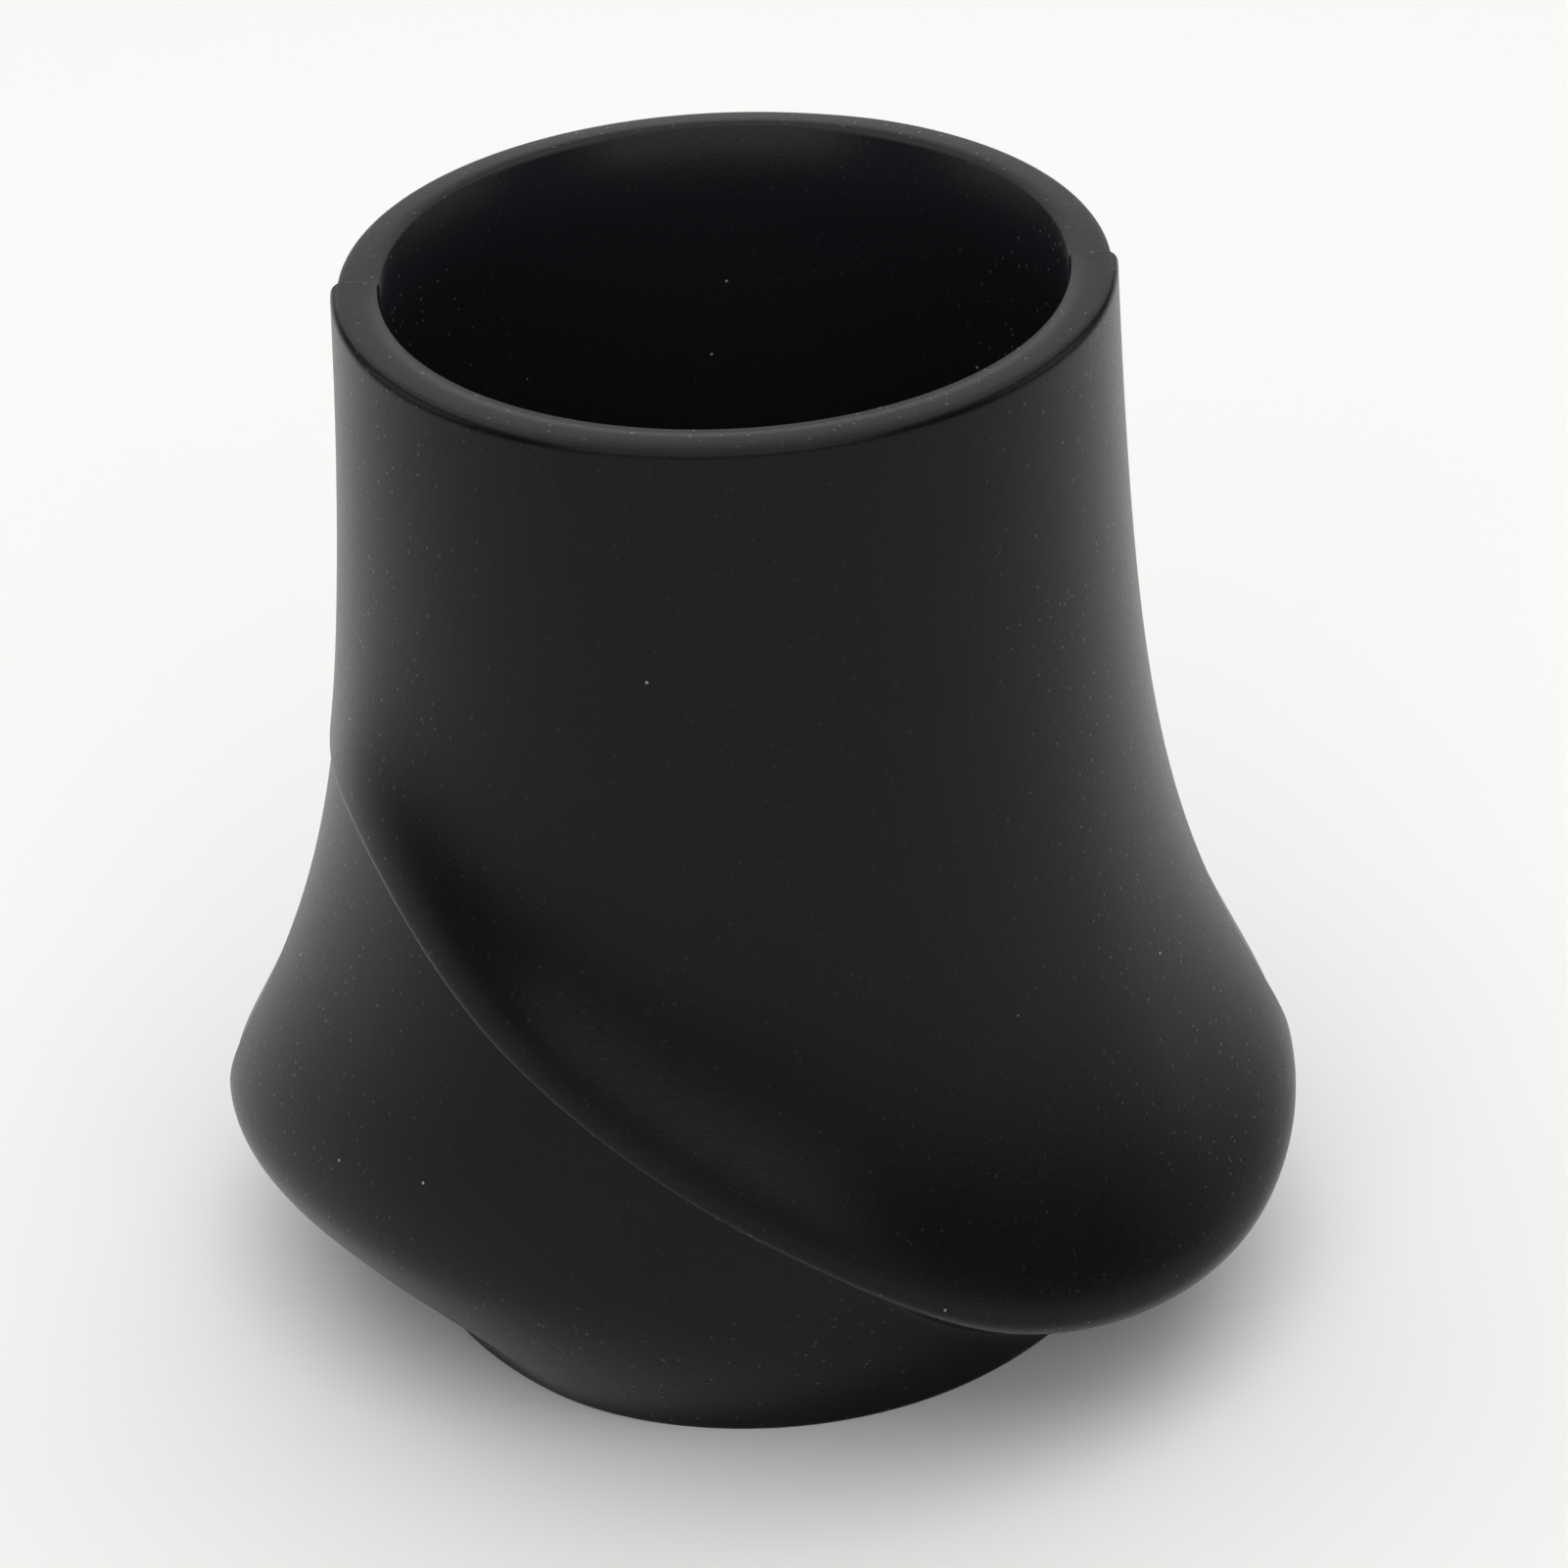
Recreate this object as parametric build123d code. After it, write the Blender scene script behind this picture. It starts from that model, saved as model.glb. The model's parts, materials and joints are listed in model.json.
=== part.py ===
"""Swirl-flared silicone sleeve that stretches over a racket handle.

One moulded piece: a plain bore right through, a thin straight collar at the top, and two
identical petals that start flush in the collar wall, sweep half a turn round the sleeve while
they flare out and down to a rounded lip, and fade back into the foot under each other.

Frame: origin at the centre of the foot face, +Z along the bore towards the collar, and the
mould's parting plane at y = 0. Lengths are in millimetres and angles in degrees.
"""
from build123d import *
import math
import os

# Bore, collar and foot
BORE_RADIUS = 17.0
HEIGHT = 57.4
COLLAR_RADIUS = 18.96
COLLAR_TAPER = 0.05
COLLAR_ROUNDING = 0.5
FOOT_RADIUS = 18.8

# The petals: two, half a turn apart. Each list runs along one petal in equal steps, from where
# it leaves the wall to where it has faded, a full turn further on.
FIRST_PETAL_START = -90.0
PETAL_SPACING = 180.0
LIP_HEIGHT = [32.5, 32.4, 24.7, 16.6, 8.9, 7.1, 9.0, 9.6, 9.4, 7.9, 5.9, 3.4, 1.0]
LIP_RADIUS = [20.9, 22.5, 24.2, 25.7, 27.4, 29.3, 30.2, 28.7, 26.8, 24.0, 21.9, 20.5, 19.3]
LIP_FACE = [0.5, 2.6, 2.4, 2.0, 1.6, 1.0, 0.3, 0.0, 0.0, 0.0, 0.0, 0.0, 0.0]
LIP_ROUNDING = [0.35, 0.38, 0.44, 0.5, 0.77, 1.38, 2.6, 3.8, 4.2, 3.8, 3.2, 2.6, 2.2]
FLARE_SLOPE = [0.9, 0.95, 0.92, 0.86, 0.83, 0.82, 0.79, 0.72, 0.46, 0.31, 0.22, 0.16, 0.12]
FLARE_BEND = [3.2, 3.6, 4.4, 5.6, 7.0, 7.8, 7.4, 7.0, 6.5, 6.5, 6.5, 6.5, 6.5]
UNDERSIDE_SLOPE = [2.49, 2.5, 2.45, 2.25, 1.93, 1.38, 1.03, 1.12, 0.82, 0.68, 0.65, 0.35, 0.3]
FACE_SLOPE = 0.15
FACE_ROUNDING = 0.35
CREASE_ROUNDING = 0.5

# How finely the outside is built up
RINGS = 64
POINTS_PER_RING = 120
PROFILE_STEPS = 600


def along_petal(stations, turn):
    """Value at an angle along the petal: a smooth curve through equally spaced stations."""
    spans = len(stations) - 1
    place = min(max(turn / 360.0 * spans, 0.0), float(spans))
    span = min(int(place), spans - 1)
    u = place - span
    before = stations[span - 1] if span > 0 else 2.0 * stations[0] - stations[1]
    last = 2.0 * stations[-1] - stations[-2]
    after = stations[span + 2] if span + 2 <= spans else last
    start, end = stations[span], stations[span + 1]
    bend = 2.0 * before - 5.0 * start + 4.0 * end - after
    twist = 3.0 * start - before - 3.0 * end + after
    return 0.5 * (2.0 * start + (end - before) * u + bend * u**2 + twist * u**3)


def smooth_max(a, b, width):
    """The larger of two values, with the corner between them rounded over about width."""
    return max(a, b) + width * math.log1p(math.exp(-abs(a - b) / width))


def smooth_min(a, b, width):
    """The smaller of two values, with the corner between them rounded over about width."""
    return -smooth_max(-a, -b, width)


def collar_radius(z):
    return COLLAR_RADIUS + COLLAR_TAPER * (HEIGHT - z)


def petal_profile(turn):
    """Radius as a function of height, for the section that lies turn degrees along a petal.

    From the top: the wall, the flare it bends out into, the lip's face, and the underside."""
    lip_z = along_petal(LIP_HEIGHT, turn)
    lip_r = along_petal(LIP_RADIUS, turn)
    slope = along_petal(FLARE_SLOPE, turn)
    depth = along_petal(FLARE_BEND, turn)
    underside = along_petal(UNDERSIDE_SLOPE, turn)
    rounding = along_petal(LIP_ROUNDING, turn)
    # The flare bends out at the height that brings it to the top of the lip's face.
    face_z = lip_z + along_petal(LIP_FACE, turn)
    reach = max(lip_r - FACE_SLOPE * (face_z - lip_z) - collar_radius(face_z), 0.02)
    bend_z = face_z + depth * math.log(math.expm1(reach / (slope * depth)))

    def radius(z):
        flare = collar_radius(z) + slope * depth * smooth_max((bend_z - z) / depth, 0.0, 1.0)
        upper = smooth_min(flare, lip_r - FACE_SLOPE * (z - lip_z), FACE_ROUNDING)
        return smooth_min(upper, lip_r + underside * (z - lip_z), rounding)

    return radius


def outer_profile(angle):
    """Points down the outside at one angle, from the collar's top face to the foot face."""
    petals = [
        petal_profile((angle - FIRST_PETAL_START + PETAL_SPACING * number) % 360.0)
        for number in range(2)
    ]
    points = []
    for step in range(PROFILE_STEPS + 1):
        z = HEIGHT * (1.0 - (step / PROFILE_STEPS))
        swirl = smooth_max(petals[0](z), petals[1](z), CREASE_ROUNDING)
        r = smooth_max(swirl, FOOT_RADIUS, CREASE_ROUNDING)
        points.append((r, z))
    return points


def spread_evenly(points, count):
    """count points at equal steps of length along a line of points, ends included."""
    lengths = [0.0]
    for (r0, z0), (r1, z1) in zip(points, points[1:]):
        lengths.append(lengths[-1] + math.hypot(r1 - r0, z1 - z0))
    spread = []
    here = 0
    for number in range(count):
        wanted = lengths[-1] * number / (count - 1)
        while here < len(points) - 2 and lengths[here + 1] < wanted:
            here += 1
        part = (wanted - lengths[here]) / (lengths[here + 1] - lengths[here])
        (r0, z0), (r1, z1) = points[here], points[here + 1]
        spread.append((r0 + part * (r1 - r0), z0 + part * (z1 - z0)))
    return spread


def around(radius, angle, z):
    """Point at a distance from the axis; angle 0 is the front (-Y) and 90 is the right (+X)."""
    turn = math.radians(angle)
    return (radius * math.sin(turn), -radius * math.cos(turn), z)


def grip_sleeve():
    angles = [360.0 * number / POINTS_PER_RING for number in range(POINTS_PER_RING)]
    profiles = [spread_evenly(outer_profile(angle), RINGS) for angle in angles]
    places = [number / POINTS_PER_RING for number in range(POINTS_PER_RING + 1)]
    rings = []
    for ring in range(RINGS):
        points = [around(profile[ring][0], angle, profile[ring][1])
                  for angle, profile in zip(angles, profiles)]
        rings.append(Wire([Edge.make_spline(points, periodic=True, parameters=places)]))
    outside = Solid.make_loft(rings)
    collar_edge = outside.edges().sort_by(Axis.Z)[-1]
    outside = outside.fillet(COLLAR_ROUNDING, [collar_edge])
    bore = Solid.make_cylinder(BORE_RADIUS, HEIGHT)
    return outside - bore


os.makedirs("parts", exist_ok=True)
export_step(grip_sleeve(), "parts/grip_sleeve.step")
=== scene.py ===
"""Looks of the swirl-flared silicone handle sleeve, laid out as an add-on and run as a script.

One moulded piece. A plain tube is spun round the bore and then pressed into the shape of the
mould: a straight collar, two petals that sweep half a turn round it as they flare out to a
rounded lip, and the foot that they fade into. Lengths are in metres unless a name says mm.
"""

import json
import math

import bmesh
import bpy
import numpy as np
from mathutils import Matrix, Vector


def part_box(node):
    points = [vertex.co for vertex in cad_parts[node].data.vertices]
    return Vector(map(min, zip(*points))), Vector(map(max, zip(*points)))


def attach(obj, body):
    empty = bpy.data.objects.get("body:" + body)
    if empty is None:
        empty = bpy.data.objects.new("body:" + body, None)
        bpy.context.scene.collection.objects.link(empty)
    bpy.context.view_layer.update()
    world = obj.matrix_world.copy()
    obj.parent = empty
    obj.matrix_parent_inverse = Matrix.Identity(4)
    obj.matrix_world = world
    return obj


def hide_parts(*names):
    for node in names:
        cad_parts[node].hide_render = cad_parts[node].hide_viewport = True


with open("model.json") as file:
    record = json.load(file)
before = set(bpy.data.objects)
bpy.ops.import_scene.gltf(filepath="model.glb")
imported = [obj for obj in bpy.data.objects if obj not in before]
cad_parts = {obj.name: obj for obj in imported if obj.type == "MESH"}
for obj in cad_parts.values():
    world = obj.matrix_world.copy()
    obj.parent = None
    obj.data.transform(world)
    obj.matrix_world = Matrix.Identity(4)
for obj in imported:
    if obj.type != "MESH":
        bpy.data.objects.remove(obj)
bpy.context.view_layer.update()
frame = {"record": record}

bl_info = {
    "name": "Silicone Handle Sleeve",
    "version": (1, 0, 0),
    "blender": (4, 5, 0),
    "location": "3D View > Sidebar > Sleeve",
    "description": "Makes a swirl-flared silicone sleeve for a racket handle, and its studio",
    "category": "Add Mesh",
}

MM = 0.001
NODE = "grip_sleeve"
BORE = next(m for m in frame["record"]["mounts"] if m["name"] == "handle_bore")
BORE_RADIUS_MM = BORE["dims"]["r_mm"]
HEIGHT_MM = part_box(NODE)[1][2] / MM

# The petals: two, half a turn apart. The first leaves the wall at the left (-X), and each is a
# full turn long. Each list of stations runs along one petal in equal steps.
PETALS = 2
PETAL_START = math.radians(-90.0)
LIP_HEIGHT_MM = (32.5, 32.4, 24.7, 16.6, 8.9, 7.1, 9.0, 9.6, 9.4, 7.9, 5.9, 3.4, 1.0)
LIP_RADIUS_MM = (20.9, 22.5, 24.2, 25.7, 27.4, 29.3, 30.2, 28.7, 26.8, 24.0, 21.9, 20.5, 19.3)
LIP_FACE_MM = (0.5, 2.6, 2.4, 2.0, 1.6, 1.0, 0.3, 0.0, 0.0, 0.0, 0.0, 0.0, 0.0)
LIP_ROUNDING_MM = (0.35, 0.38, 0.44, 0.5, 0.77, 1.38, 2.6, 3.8, 4.2, 3.8, 3.2, 2.6, 2.2)
FLARE_SLOPE = (0.9, 0.95, 0.92, 0.86, 0.83, 0.82, 0.79, 0.72, 0.46, 0.31, 0.22, 0.16, 0.12)
FLARE_BEND_MM = (3.2, 3.6, 4.4, 5.6, 7.0, 7.8, 7.4, 7.0, 6.5, 6.5, 6.5, 6.5, 6.5)
UNDERSIDE_SLOPE = (2.49, 2.5, 2.45, 2.25, 1.93, 1.38, 1.03, 1.12, 0.82, 0.68, 0.65, 0.35, 0.3)
FACE_SLOPE = 0.15

# How finely the mesh follows the shape
COLUMNS = 300
OUTSIDE_ROWS = 270
BORE_ROWS = 12
FACE_ROWS = 3
PROFILE_SAMPLES = 900
CURVE_WEIGHT = 1.4

# The least that a petal stands out from the wall, and the skin that gets the bore's painted light
LEAST_REACH_MM = 0.02
BORE_SKIN_MM = 0.05

# How far from the parting line the mould step fades, and where it stops altogether
STEP_FADE_MM = 5.0
STEP_END_MM = 20.0


def to_linear(code):
    """sRGB hex colour, such as #1c2023, as linear red, green, blue and alpha."""
    parts = [int(code[i:i + 2], 16) / 255.0 for i in (1, 3, 5)]
    return [c / 12.92 if c <= 0.04045 else ((c + 0.055) / 1.055) ** 2.4 for c in parts] + [1.0]


class SleeveSizes(bpy.types.PropertyGroup):
    """Sizes of the sleeve that are the same all the way round."""

    collar_radius: bpy.props.FloatProperty(
        name="Collar radius", description="Outside radius at the top of the collar",
        default=18.96 * MM, unit="LENGTH")
    collar_taper: bpy.props.FloatProperty(
        name="Collar taper", description="Growth of the collar's radius per unit of height down",
        default=0.05)
    collar_rounding: bpy.props.FloatProperty(
        name="Collar rounding", description="Radius of the collar's outer top edge",
        default=0.5 * MM, unit="LENGTH")
    foot_radius: bpy.props.FloatProperty(
        name="Foot radius", description="Outside radius of the foot ring",
        default=18.8 * MM, unit="LENGTH")
    edge_rounding: bpy.props.FloatProperty(
        name="Edge rounding", description="Radius of the bore's and the foot's edges",
        default=0.15 * MM, unit="LENGTH")
    face_rounding: bpy.props.FloatProperty(
        name="Face rounding", description="Softness of the edge between the flare and the lip face",
        default=0.35 * MM, unit="LENGTH")
    crease_rounding: bpy.props.FloatProperty(
        name="Crease rounding", description="Softness of the crease under each lip",
        default=0.5 * MM, unit="LENGTH")
    mould_step: bpy.props.FloatProperty(
        name="Mould step", description="How far the front mould half stands proud at its edge",
        default=0.3 * MM, unit="LENGTH")
    witness_depth: bpy.props.FloatProperty(
        name="Witness line depth", description="Depth of the line where the mould halves met",
        default=0.12 * MM, unit="LENGTH")
    witness_width: bpy.props.FloatProperty(
        name="Witness line width", description="Width of the line where the mould halves met",
        default=0.14 * MM, unit="LENGTH")


class SleeveFinish(bpy.types.PropertyGroup):
    """Finish of the rubber, with a painted sheen on fine specks and painted light in the bore."""

    rubber_colour: bpy.props.FloatVectorProperty(
        name="Rubber", description="Colour of the silicone", size=4, subtype="COLOR",
        min=0.0, max=1.0, default=to_linear("#040508"))
    bloom_colour: bpy.props.FloatVectorProperty(
        name="Bloom", description="Colour of the faint chalky bloom on it", size=4,
        subtype="COLOR", min=0.0, max=1.0, default=to_linear("#06080b"))
    # Painted light: the bore gets a paler copy of the rubber's colour.
    bore_painted_light_colour: bpy.props.FloatVectorProperty(
        name="Bore", description="Colour of the smoother rubber inside the bore", size=4,
        subtype="COLOR", min=0.0, max=1.0, default=to_linear("#17191c"))
    # This colour also paints the fine specks more strongly at a grazing angle, as a painted sheen.
    dust_and_sheen_colour: bpy.props.FloatVectorProperty(
        name="Dust", description="Colour of the dust that clings to it", size=4,
        subtype="COLOR", min=0.0, max=1.0, default=to_linear("#9aa09c"))
    grain_mm: bpy.props.FloatProperty(
        name="Grain", description="Spacing of the eroded mould's grain, in millimetres",
        default=0.16)
    dust_mm: bpy.props.FloatProperty(
        name="Dust spacing", description="Mean distance between dust specks, in millimetres",
        default=1.9)
    # The fine specks show mostly at a grazing angle: dust with a painted sheen.
    fine_dust_and_sheen_mm: bpy.props.FloatProperty(
        name="Fine dust spacing", description="Mean distance between fine specks, in millimetres",
        default=0.55)


# ---------------------------------------------------------------- the shape of the mould

def along_petal(stations, turn):
    """Values at angles along the petal: a smooth curve through equally spaced stations."""
    stations = np.asarray(stations, dtype=float)
    count = len(stations) - 1
    before = 2.0 * stations[0] - stations[1]
    after = 2.0 * stations[-1] - stations[-2]
    padded = np.concatenate(([before], stations, [after]))
    place = np.clip(turn / (2.0 * math.pi) * count, 0.0, count)
    first = np.minimum(place.astype(int), count - 1)
    u = place - first
    a, b, c, d = (padded[first + i] for i in range(4))
    bend = 2.0 * a - 5.0 * b + 4.0 * c - d
    twist = 3.0 * b - a - 3.0 * c + d
    return 0.5 * (2.0 * b + (c - a) * u + bend * u**2 + twist * u**3)


def smooth_max(a, b, width):
    """The larger of two values, with the corner between them rounded over about width."""
    return width * np.logaddexp(a / width, b / width)


def smooth_min(a, b, width):
    """The smaller of two values, with the corner between them rounded over about width."""
    return -smooth_max(-a, -b, width)


def petal_radius(sizes, turn, z):
    """Radius of one petal's surface, at angles along the petal and at heights.

    From the top: the wall, the flare it bends out into, the lip's face, and the underside."""
    top = HEIGHT_MM * MM
    bend = along_petal(FLARE_BEND_MM, turn) * MM
    lip_z = along_petal(LIP_HEIGHT_MM, turn) * MM
    lip_r = along_petal(LIP_RADIUS_MM, turn) * MM
    face = along_petal(LIP_FACE_MM, turn) * MM
    slope = along_petal(FLARE_SLOPE, turn)
    reach = lip_r - FACE_SLOPE * face
    reach -= sizes.collar_radius + sizes.collar_taper * (top - lip_z - face)
    reach = np.maximum(reach, LEAST_REACH_MM * MM)
    bend_z = lip_z + face + bend * np.log(np.expm1(reach / (slope * bend)))
    wall = sizes.collar_radius + sizes.collar_taper * (top - z)
    flare = wall + slope * bend * smooth_max((bend_z - z) / bend, 0.0, 1.0)
    lip_face = lip_r - FACE_SLOPE * (z - lip_z)
    upper = smooth_min(flare, lip_face, sizes.face_rounding)
    under = lip_r + along_petal(UNDERSIDE_SLOPE, turn) * (z - lip_z)
    return smooth_min(upper, under, along_petal(LIP_ROUNDING_MM, turn) * MM)


def rounded_off(distance, rounding):
    """How far a rounded edge draws back, at distances from the edge."""
    into = np.clip(1.0 - distance / rounding, 0.0, 1.0)
    return rounding * (1.0 - np.sqrt(1.0 - into**2))


def outside_profiles(sizes, angles):
    """Radius and height down the outside at each angle, from the collar face to the foot face.

    Each profile has one point per row, closer together where the section curves tightly."""
    top = HEIGHT_MM * MM
    turn = np.linspace(0.0, math.pi, PROFILE_SAMPLES)
    z = top * (0.5 + 0.5 * np.cos(turn))
    z = 0.5 * (z + np.linspace(top, 0.0, PROFILE_SAMPLES))
    along, heights = np.meshgrid(angles, z, indexing="ij")
    radius = sizes.foot_radius + np.zeros_like(heights)
    for number in range(PETALS):
        start = PETAL_START + 2.0 * math.pi * number / PETALS
        petal = petal_radius(sizes, np.mod(along - start, 2.0 * math.pi), heights)
        radius = smooth_max(radius, petal, sizes.crease_rounding)
    radius -= rounded_off(top - heights, sizes.collar_rounding)
    radius -= rounded_off(heights, sizes.edge_rounding)
    step_r = np.diff(radius, axis=1)
    step_z = np.diff(heights, axis=1)
    length = np.hypot(step_r, step_z)
    heading = np.unwrap(np.arctan2(step_z, step_r), axis=1)
    turning = np.abs(np.gradient(heading, axis=1)) / length * MM
    weight = length * (1.0 + CURVE_WEIGHT * np.minimum(turning, 1.0))
    travel = np.concatenate((np.zeros((len(angles), 1)), np.cumsum(weight, axis=1)), axis=1)
    rows = np.linspace(0.0, 1.0, OUTSIDE_ROWS + 1)
    profiles = np.empty((len(angles), OUTSIDE_ROWS + 1, 2))
    for column, place in enumerate(travel):
        profiles[column, :, 0] = np.interp(rows * place[-1], place, radius[column])
        profiles[column, :, 1] = np.interp(rows * place[-1], place, heights[column])
    return profiles


# ---------------------------------------------------------------- materials

def add_node(tree, kind, settings=None, links=None):
    """Adds a node, sets its properties or input values by name, and links its inputs."""
    node = tree.nodes.new(kind)
    for name, value in (settings or {}).items():
        if isinstance(name, int) or name in node.inputs:
            node.inputs[name].default_value = value
        else:
            setattr(node, name, value)
    for name, source in (links or {}).items():
        tree.links.new(source, node.inputs[name])
    return node


def dust_specks(tree, place, spacing_mm, threshold, radius):
    """A mask of round specks, one in each Voronoi cell whose random value beats the threshold.

    The radius is a share of the spacing. The specks fade out over its outer half."""
    cells = add_node(tree, "ShaderNodeTexVoronoi",
                     {"Scale": 1.0 / (spacing_mm * MM), "Randomness": 1.0}, {"Vector": place})
    chosen = add_node(tree, "ShaderNodeMath", {"operation": "GREATER_THAN", 1: threshold},
                      {0: cells.outputs["Color"]})
    near = add_node(tree, "ShaderNodeMapRange",
                    {"From Min": radius, "From Max": 0.5 * radius, "To Min": 0.0, "To Max": 0.8},
                    {"Value": cells.outputs["Distance"]})
    mask = add_node(tree, "ShaderNodeMath", {"operation": "MULTIPLY"},
                    {0: chosen.outputs[0], 1: near.outputs[0]})
    return mask.outputs[0]


def moulded_silicone(finish):
    """Black silicone rubber, compression moulded in a spark-eroded steel mould.

    To the eye: a soft matte black that stays dark face on and turns pale where it is seen at a
    grazing angle, with a fine grain and a few clear specks of dust. Finer pale specks are painted
    in more strongly at a grazing angle, as a painted sheen, and the bore is painted paler, as
    painted light inside it."""
    material = bpy.data.materials.new("moulded black silicone")
    material.use_nodes = True
    tree = material.node_tree
    tree.nodes.clear()
    place = add_node(tree, "ShaderNodeTexCoord").outputs["Object"]
    # Eroded grain: two sizes of pits.
    fine = add_node(tree, "ShaderNodeTexNoise",
                    {"Scale": 1.0 / (finish.grain_mm * MM), "Detail": 2.0, "Roughness": 0.6},
                    {"Vector": place})
    coarse = add_node(tree, "ShaderNodeTexNoise",
                      {"Scale": 1.0 / (finish.grain_mm * 4.0 * MM), "Detail": 3.0},
                      {"Vector": place})
    # Bloom: uneven matt patches a few millimetres across.
    patches = add_node(tree, "ShaderNodeTexNoise",
                       {"Scale": 1.0 / (6.0 * MM), "Detail": 4.0, "Roughness": 0.55},
                       {"Vector": place})
    # Dust and painted sheen: a few clear dust specks, and fine pale specks all over that are
    # painted in more strongly at a grazing angle, as a painted sheen.
    grazing = add_node(tree, "ShaderNodeLayerWeight", {"Blend": 0.5})
    # Painted sheen: the fine specks are painted paler the more grazing the view.
    painted_sheen_share = add_node(tree, "ShaderNodeMapRange",
                          {"From Min": 0.25, "From Max": 0.85, "To Min": 0.04, "To Max": 0.55},
                          {"Value": grazing.outputs["Facing"]})
    specks = dust_specks(tree, place, finish.dust_mm, threshold=0.75, radius=0.055)
    fine_specks = dust_specks(tree, place, finish.fine_dust_and_sheen_mm, threshold=0.5, radius=0.17)
    fine_dust_and_sheen = add_node(tree, "ShaderNodeMath", {"operation": "MULTIPLY"},
                         {0: fine_specks, 1: painted_sheen_share.outputs[0]})
    dust_and_sheen = add_node(tree, "ShaderNodeMath", {"operation": "MAXIMUM"},
                    {0: specks, 1: fine_dust_and_sheen.outputs[0]})
    blotch = add_node(tree, "ShaderNodeMapRange",
                      {"From Min": 0.35, "From Max": 0.7},
                      {"Value": patches.outputs["Fac"]})
    rubber = add_node(tree, "ShaderNodeMix",
                      {"data_type": "RGBA", 6: finish.rubber_colour, 7: finish.bloom_colour},
                      {0: blotch.outputs[0]})
    # The polished core leaves the bore smoother; its paler colour is painted light inside the bore.
    flat = add_node(tree, "ShaderNodeVectorMath", {"operation": "MULTIPLY", 1: (1.0, 1.0, 0.0)},
                    {0: place})
    from_axis = add_node(tree, "ShaderNodeVectorMath", {"operation": "LENGTH"},
                         {0: flat.outputs[0]})
    inside = add_node(tree, "ShaderNodeMath",
                      {"operation": "LESS_THAN", 1: (BORE_RADIUS_MM + BORE_SKIN_MM) * MM},
                      {0: from_axis.outputs["Value"]})
    rubber_and_bore_light = add_node(tree, "ShaderNodeMix", {"data_type": "RGBA", 7: finish.bore_painted_light_colour},
                     {0: inside.outputs[0], 6: rubber.outputs[2]})
    # Dust and the painted sheen of the fine specks laid over the rubber.
    colour = add_node(tree, "ShaderNodeMix",
                      {"data_type": "RGBA", 7: finish.dust_and_sheen_colour},
                      {0: dust_and_sheen.outputs[0], 6: rubber_and_bore_light.outputs[2]})
    rough = add_node(tree, "ShaderNodeMapRange",
                     {"From Min": 0.3, "From Max": 0.7, "To Min": 0.27, "To Max": 0.35},
                     {"Value": fine.outputs["Fac"]})
    pits = add_node(tree, "ShaderNodeBump", {"Strength": 0.55, "Distance": 0.012 * MM},
                    {"Height": coarse.outputs["Fac"]})
    grain = add_node(tree, "ShaderNodeBump", {"Strength": 0.8, "Distance": 0.012 * MM},
                     {"Height": fine.outputs["Fac"], "Normal": pits.outputs[0]})
    shader = add_node(tree, "ShaderNodeBsdfPrincipled",
                      {"IOR": 1.41, "Specular IOR Level": 0.25, "Metallic": 0.0},
                      {"Base Color": colour.outputs[2], "Roughness": rough.outputs[0],
                       "Normal": grain.outputs[0]})
    add_node(tree, "ShaderNodeOutputMaterial", links={"Surface": shader.outputs[0]})
    return material


def pale_paper(name, code, roughness):
    """Seamless studio background paper: plain, pale and dull."""
    material = bpy.data.materials.new(name)
    material.use_nodes = True
    shader = material.node_tree.nodes["Principled BSDF"]
    shader.inputs["Base Color"].default_value = to_linear(code)
    shader.inputs["Roughness"].default_value = roughness
    shader.inputs["Specular IOR Level"].default_value = 0.2
    return material


# ---------------------------------------------------------------- the sleeve

def link(name, mesh):
    piece = bpy.data.objects.new(name, mesh)
    bpy.context.scene.collection.objects.link(piece)
    return piece


def spun_tube(bore, outside, top):
    """A plain tube round Z: the wall's section, cut into rows, spun one full turn."""
    bm = bmesh.new()
    corners = [bm.verts.new(place) for place in
               ((bore, 0.0, 0.0), (bore, 0.0, top), (outside, 0.0, top), (outside, 0.0, 0.0))]
    for number in range(4):
        bm.edges.new((corners[number], corners[(number + 1) % 4]))
    middle = 0.5 * (bore + outside)
    for x, z, count in ((bore, 0.5 * top, BORE_ROWS), (middle, top, FACE_ROWS),
                        (outside, 0.5 * top, OUTSIDE_ROWS), (middle, 0.0, FACE_ROWS)):
        place = Vector((x, 0.0, z))
        edge = min(bm.edges, key=lambda e: ((e.verts[0].co + e.verts[1].co) / 2 - place).length)
        bmesh.ops.subdivide_edges(bm, edges=[edge], cuts=count - 1)
    bmesh.ops.spin(bm, geom=bm.verts[:] + bm.edges[:], cent=(0.0, 0.0, 0.0),
                   axis=(0.0, 0.0, 1.0), angle=2.0 * math.pi, steps=COLUMNS, use_merge=True)
    return bm


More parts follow.
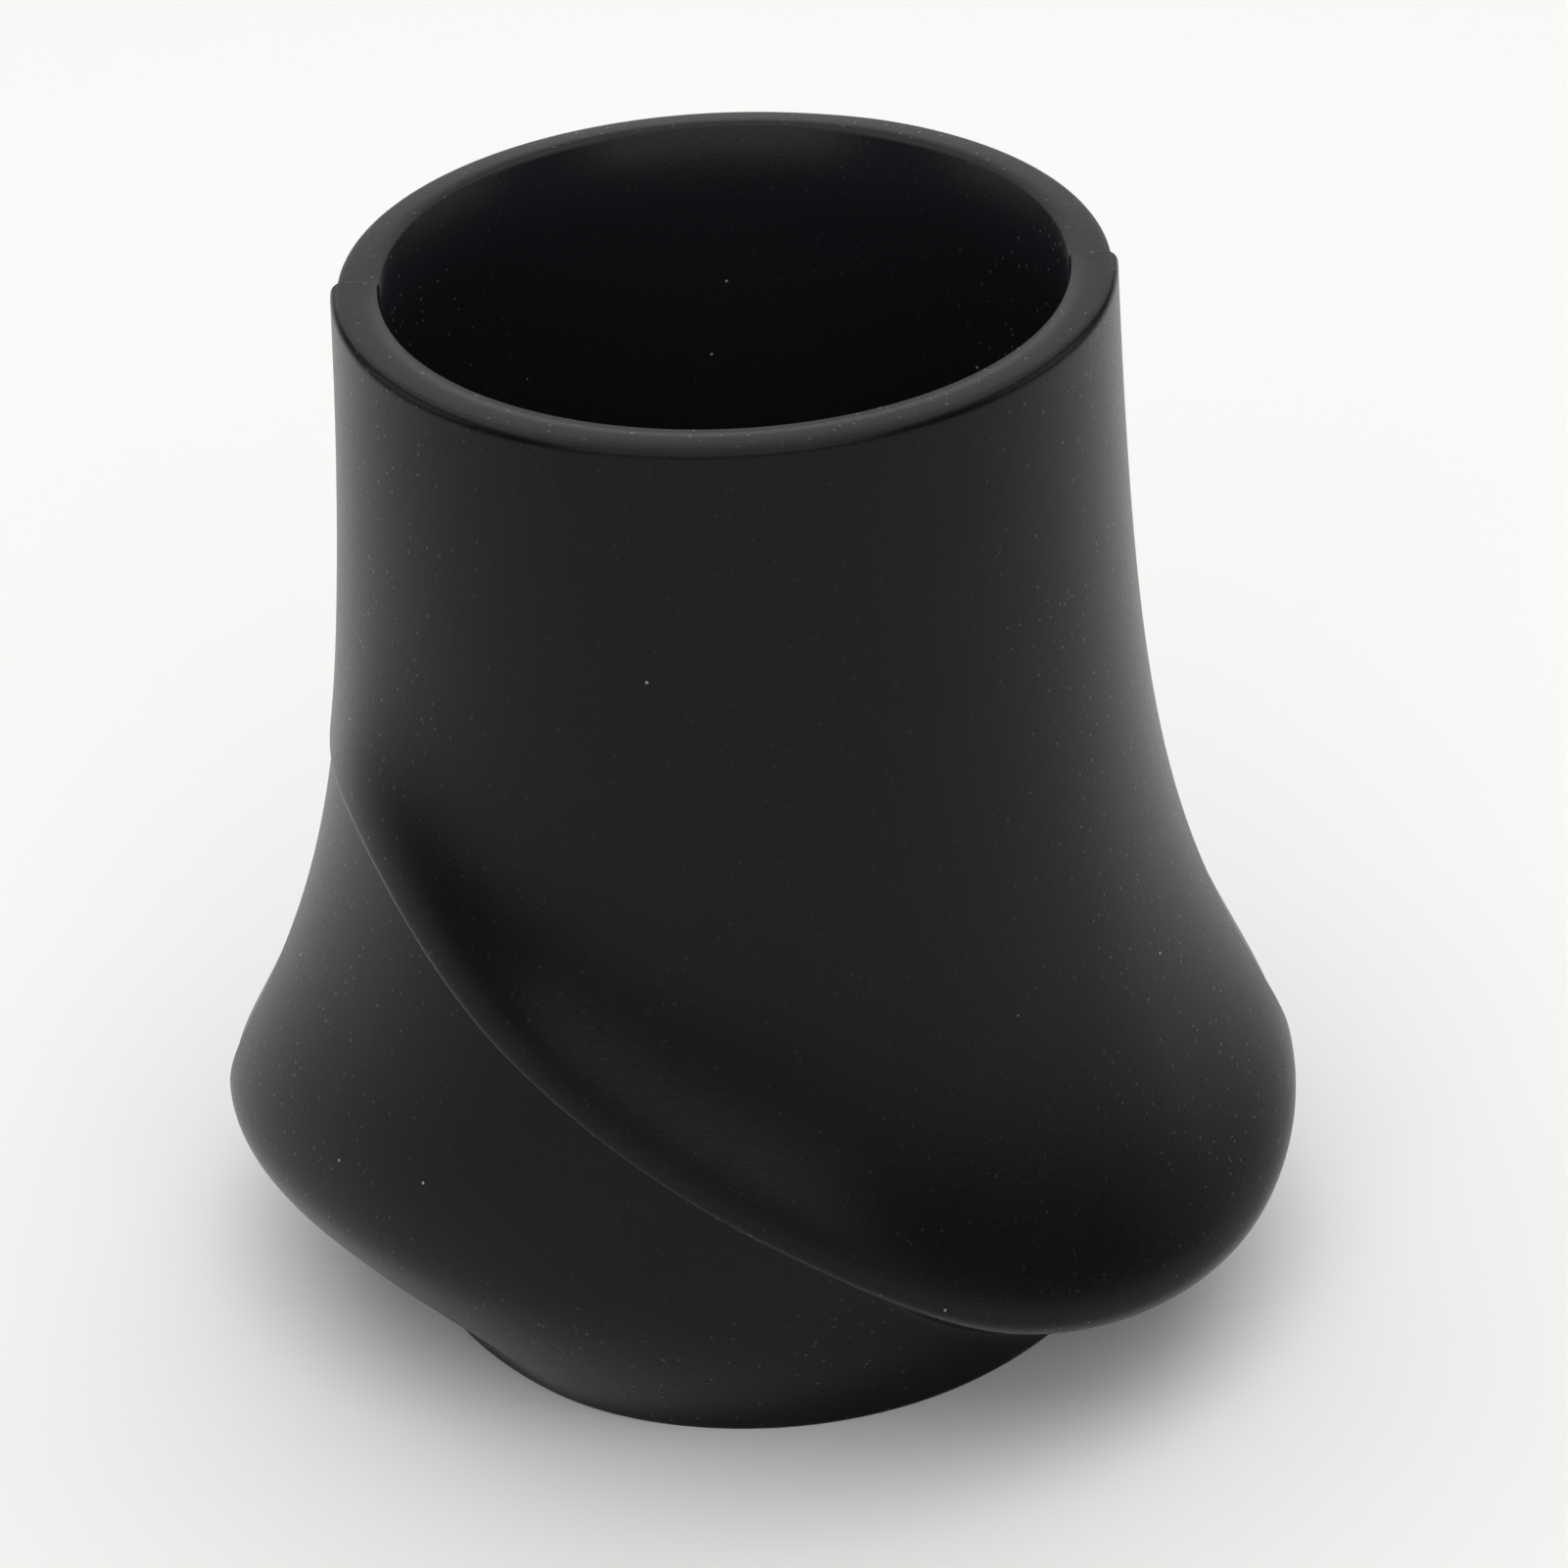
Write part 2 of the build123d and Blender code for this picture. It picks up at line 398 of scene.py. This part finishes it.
def press_into_mould(bm, sizes, bore, outside, top):
    """Moves the tube's outside onto the mould's surface, and fits its two end faces to it."""
    step = 2.0 * math.pi / COLUMNS
    angles = np.arange(COLUMNS) * step
    profiles = outside_profiles(sizes, angles)
    for vert in bm.verts:
        radius = math.hypot(vert.co.x, vert.co.y)
        angle = math.atan2(vert.co.x, -vert.co.y)
        column = round(angle / step) % COLUMNS
        profile = profiles[column]
        share = (radius - bore) / (outside - bore)
        if share > 0.999:
            row = round((1.0 - vert.co.z / top) * OUTSIDE_ROWS)
            new_radius, new_z = profile[row]
        elif share > 0.001:
            end = profile[0] if vert.co.z > 0.5 * top else profile[-1]
            inner = bore + sizes.edge_rounding
            part = (share * FACE_ROWS - 1.0) / (FACE_ROWS - 1.0)
            new_radius = inner + part * (end[0] - inner)
            new_z = end[1]
        else:
            new_radius = bore
            low = sizes.edge_rounding
            new_z = low + vert.co.z / top * (top - 2.0 * low)
        vert.co.x = new_radius * math.sin(angle)
        vert.co.y = -new_radius * math.cos(angle)
        vert.co.z = new_z


def mark_parting_line(bm, sizes, bore):
    """Cuts the line where the mould halves met (y = 0) down both sides, with its small step."""
    half = 0.5 * sizes.witness_width
    for y in (-2.0 * half, -half, -0.5 * half, 0.5 * half, half, 2.0 * half):
        bmesh.ops.bisect_plane(bm, geom=bm.verts[:] + bm.edges[:] + bm.faces[:],
                               plane_co=(0.0, y, 0.0), plane_no=(0.0, 1.0, 0.0))
    bm.normal_update()
    moves = []
    for vert in bm.verts:
        distance = abs(vert.co.y)
        on_bore = math.hypot(vert.co.x, vert.co.y) < bore + 0.02 * MM
        if on_bore or distance > STEP_END_MM * MM or vert.co.z < sizes.edge_rounding:
            continue
        side = -math.copysign(1.0, vert.co.y) if distance > 0.25 * half else 0.0
        proud = 0.5 * sizes.mould_step * side * math.exp(-distance / (STEP_FADE_MM * MM))
        dip = sizes.witness_depth * max(0.0, 1.0 - distance / half)
        moves.append((vert, vert.normal * (proud - dip)))
    for vert, move in moves:
        vert.co += move


class SLEEVE_OT_sleeve(bpy.types.Operator):
    """Make the moulded silicone sleeve"""

    bl_idname = "sleeve.sleeve"
    bl_label = "Silicone sleeve"

    def execute(self, context):
        sizes = context.scene.sleeve_sizes
        bore = BORE_RADIUS_MM * MM
        top = HEIGHT_MM * MM
        outside = sizes.collar_radius
        bm = spun_tube(bore, outside, top)
        press_into_mould(bm, sizes, bore, outside, top)
        bmesh.ops.remove_doubles(bm, verts=bm.verts[:], dist=0.002 * MM)
        bmesh.ops.recalc_face_normals(bm, faces=bm.faces[:])
        mark_parting_line(bm, sizes, bore)
        mesh = bpy.data.meshes.new("sleeve")
        bm.to_mesh(mesh)
        bm.free()
        mesh.polygons.foreach_set("use_smooth", [True] * len(mesh.polygons))
        mesh.materials.append(moulded_silicone(context.scene.sleeve_finish))
        sleeve = link("sleeve", mesh)
        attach(sleeve, "root")
        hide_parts(NODE)
        return {"FINISHED"}


# ---------------------------------------------------------------- the studio

def softbox(name, place, target, size, power):
    """A large soft white light at place that faces target."""
    data = bpy.data.lights.new(name, "AREA")
    data.shape = "RECTANGLE"
    data.size, data.size_y = size
    data.energy = power
    light = link(name, data)
    light.location = place
    light.rotation_euler = (Vector(target) - Vector(place)).to_track_quat("-Z", "Y").to_euler()


def studio_camera():
    """Camera that looks down at the sleeve from the front, with a slight roll."""
    data = bpy.data.cameras.new("camera")
    data.sensor_width = 36.0
    data.lens = 118.9
    camera = link("camera", data)
    elevation = math.radians(31.3)
    roll = math.radians(2.39)
    target = Vector((1.9, 0.0, 27.6)) * MM
    distance = 270.3 * MM
    back = Vector((0.0, -math.cos(elevation), math.sin(elevation)))
    turn = back.to_track_quat("Z", "Y").to_matrix() @ Matrix.Rotation(-roll, 3, "Z")
    camera.location = target + back * distance
    camera.rotation_euler = turn.to_euler()
    data.clip_start = 0.01
    data.clip_end = 20.0
    bpy.context.scene.camera = camera


class SLEEVE_OT_stage(bpy.types.Operator):
    """Make the pale floor, the soft lights and the camera"""

    bl_idname = "sleeve.stage"
    bl_label = "Studio"

    def execute(self, context):
        bm = bmesh.new()
        bmesh.ops.create_grid(bm, x_segments=1, y_segments=1, size=3.0)
        mesh = bpy.data.meshes.new("floor")
        bm.to_mesh(mesh)
        bm.free()
        mesh.materials.append(pale_paper("pale background paper", "#f0f0ee", 0.7))
        floor = link("floor", mesh)
        world = bpy.data.worlds.new("studio")
        world.use_nodes = True
        background = world.node_tree.nodes["Background"]
        background.inputs["Color"].default_value = to_linear("#eef1f4")
        background.inputs["Strength"].default_value = 0.03
        context.scene.world = world
        centre = (0.0, 0.0, 30.0 * MM)
        softbox("overhead softbox", (0.0, 0.0, 0.6), (0.0, 0.0, 0.0), (1.0, 1.0), 5.2)
        softbox("back panel", (0.0, 1.1, 0.5), centre, (1.8, 0.8), 5.0)
        softbox("front panel", (0.0, -1.0, 0.57), centre, (1.8, 0.7), 6.0)
        softbox("left panel", (-1.0, 0.2, 0.45), centre, (0.8, 0.6), 1.4)
        softbox("right panel", (1.0, 0.2, 0.45), centre, (0.8, 0.6), 1.4)
        studio_camera()
        context.scene.view_settings.view_transform = "Standard"
        return {"FINISHED"}


class SLEEVE_PT_panel(bpy.types.Panel):
    """Lists the sizes, the finish and the operators"""

    bl_idname = "SLEEVE_PT_panel"
    bl_label = "Silicone Sleeve"
    bl_space_type = "VIEW_3D"
    bl_region_type = "UI"
    bl_category = "Sleeve"

    def draw(self, context):
        for group in (context.scene.sleeve_sizes, context.scene.sleeve_finish):
            box = self.layout.box()
            for name in group.__annotations__:
                box.prop(group, name)
        for operator in OPERATORS:
            self.layout.operator(operator.bl_idname)


OPERATORS = (SLEEVE_OT_sleeve, SLEEVE_OT_stage)
CLASSES = (SleeveSizes, SleeveFinish) + OPERATORS + (SLEEVE_PT_panel,)


def register():
    for item in CLASSES:
        bpy.utils.register_class(item)
    bpy.types.Scene.sleeve_sizes = bpy.props.PointerProperty(type=SleeveSizes)
    bpy.types.Scene.sleeve_finish = bpy.props.PointerProperty(type=SleeveFinish)


def unregister():
    del bpy.types.Scene.sleeve_finish
    del bpy.types.Scene.sleeve_sizes
    for item in reversed(CLASSES):
        bpy.utils.unregister_class(item)


def main():
    register()
    bpy.ops.sleeve.sleeve()
    bpy.ops.sleeve.stage()


if __name__ == "__main__":
    main()
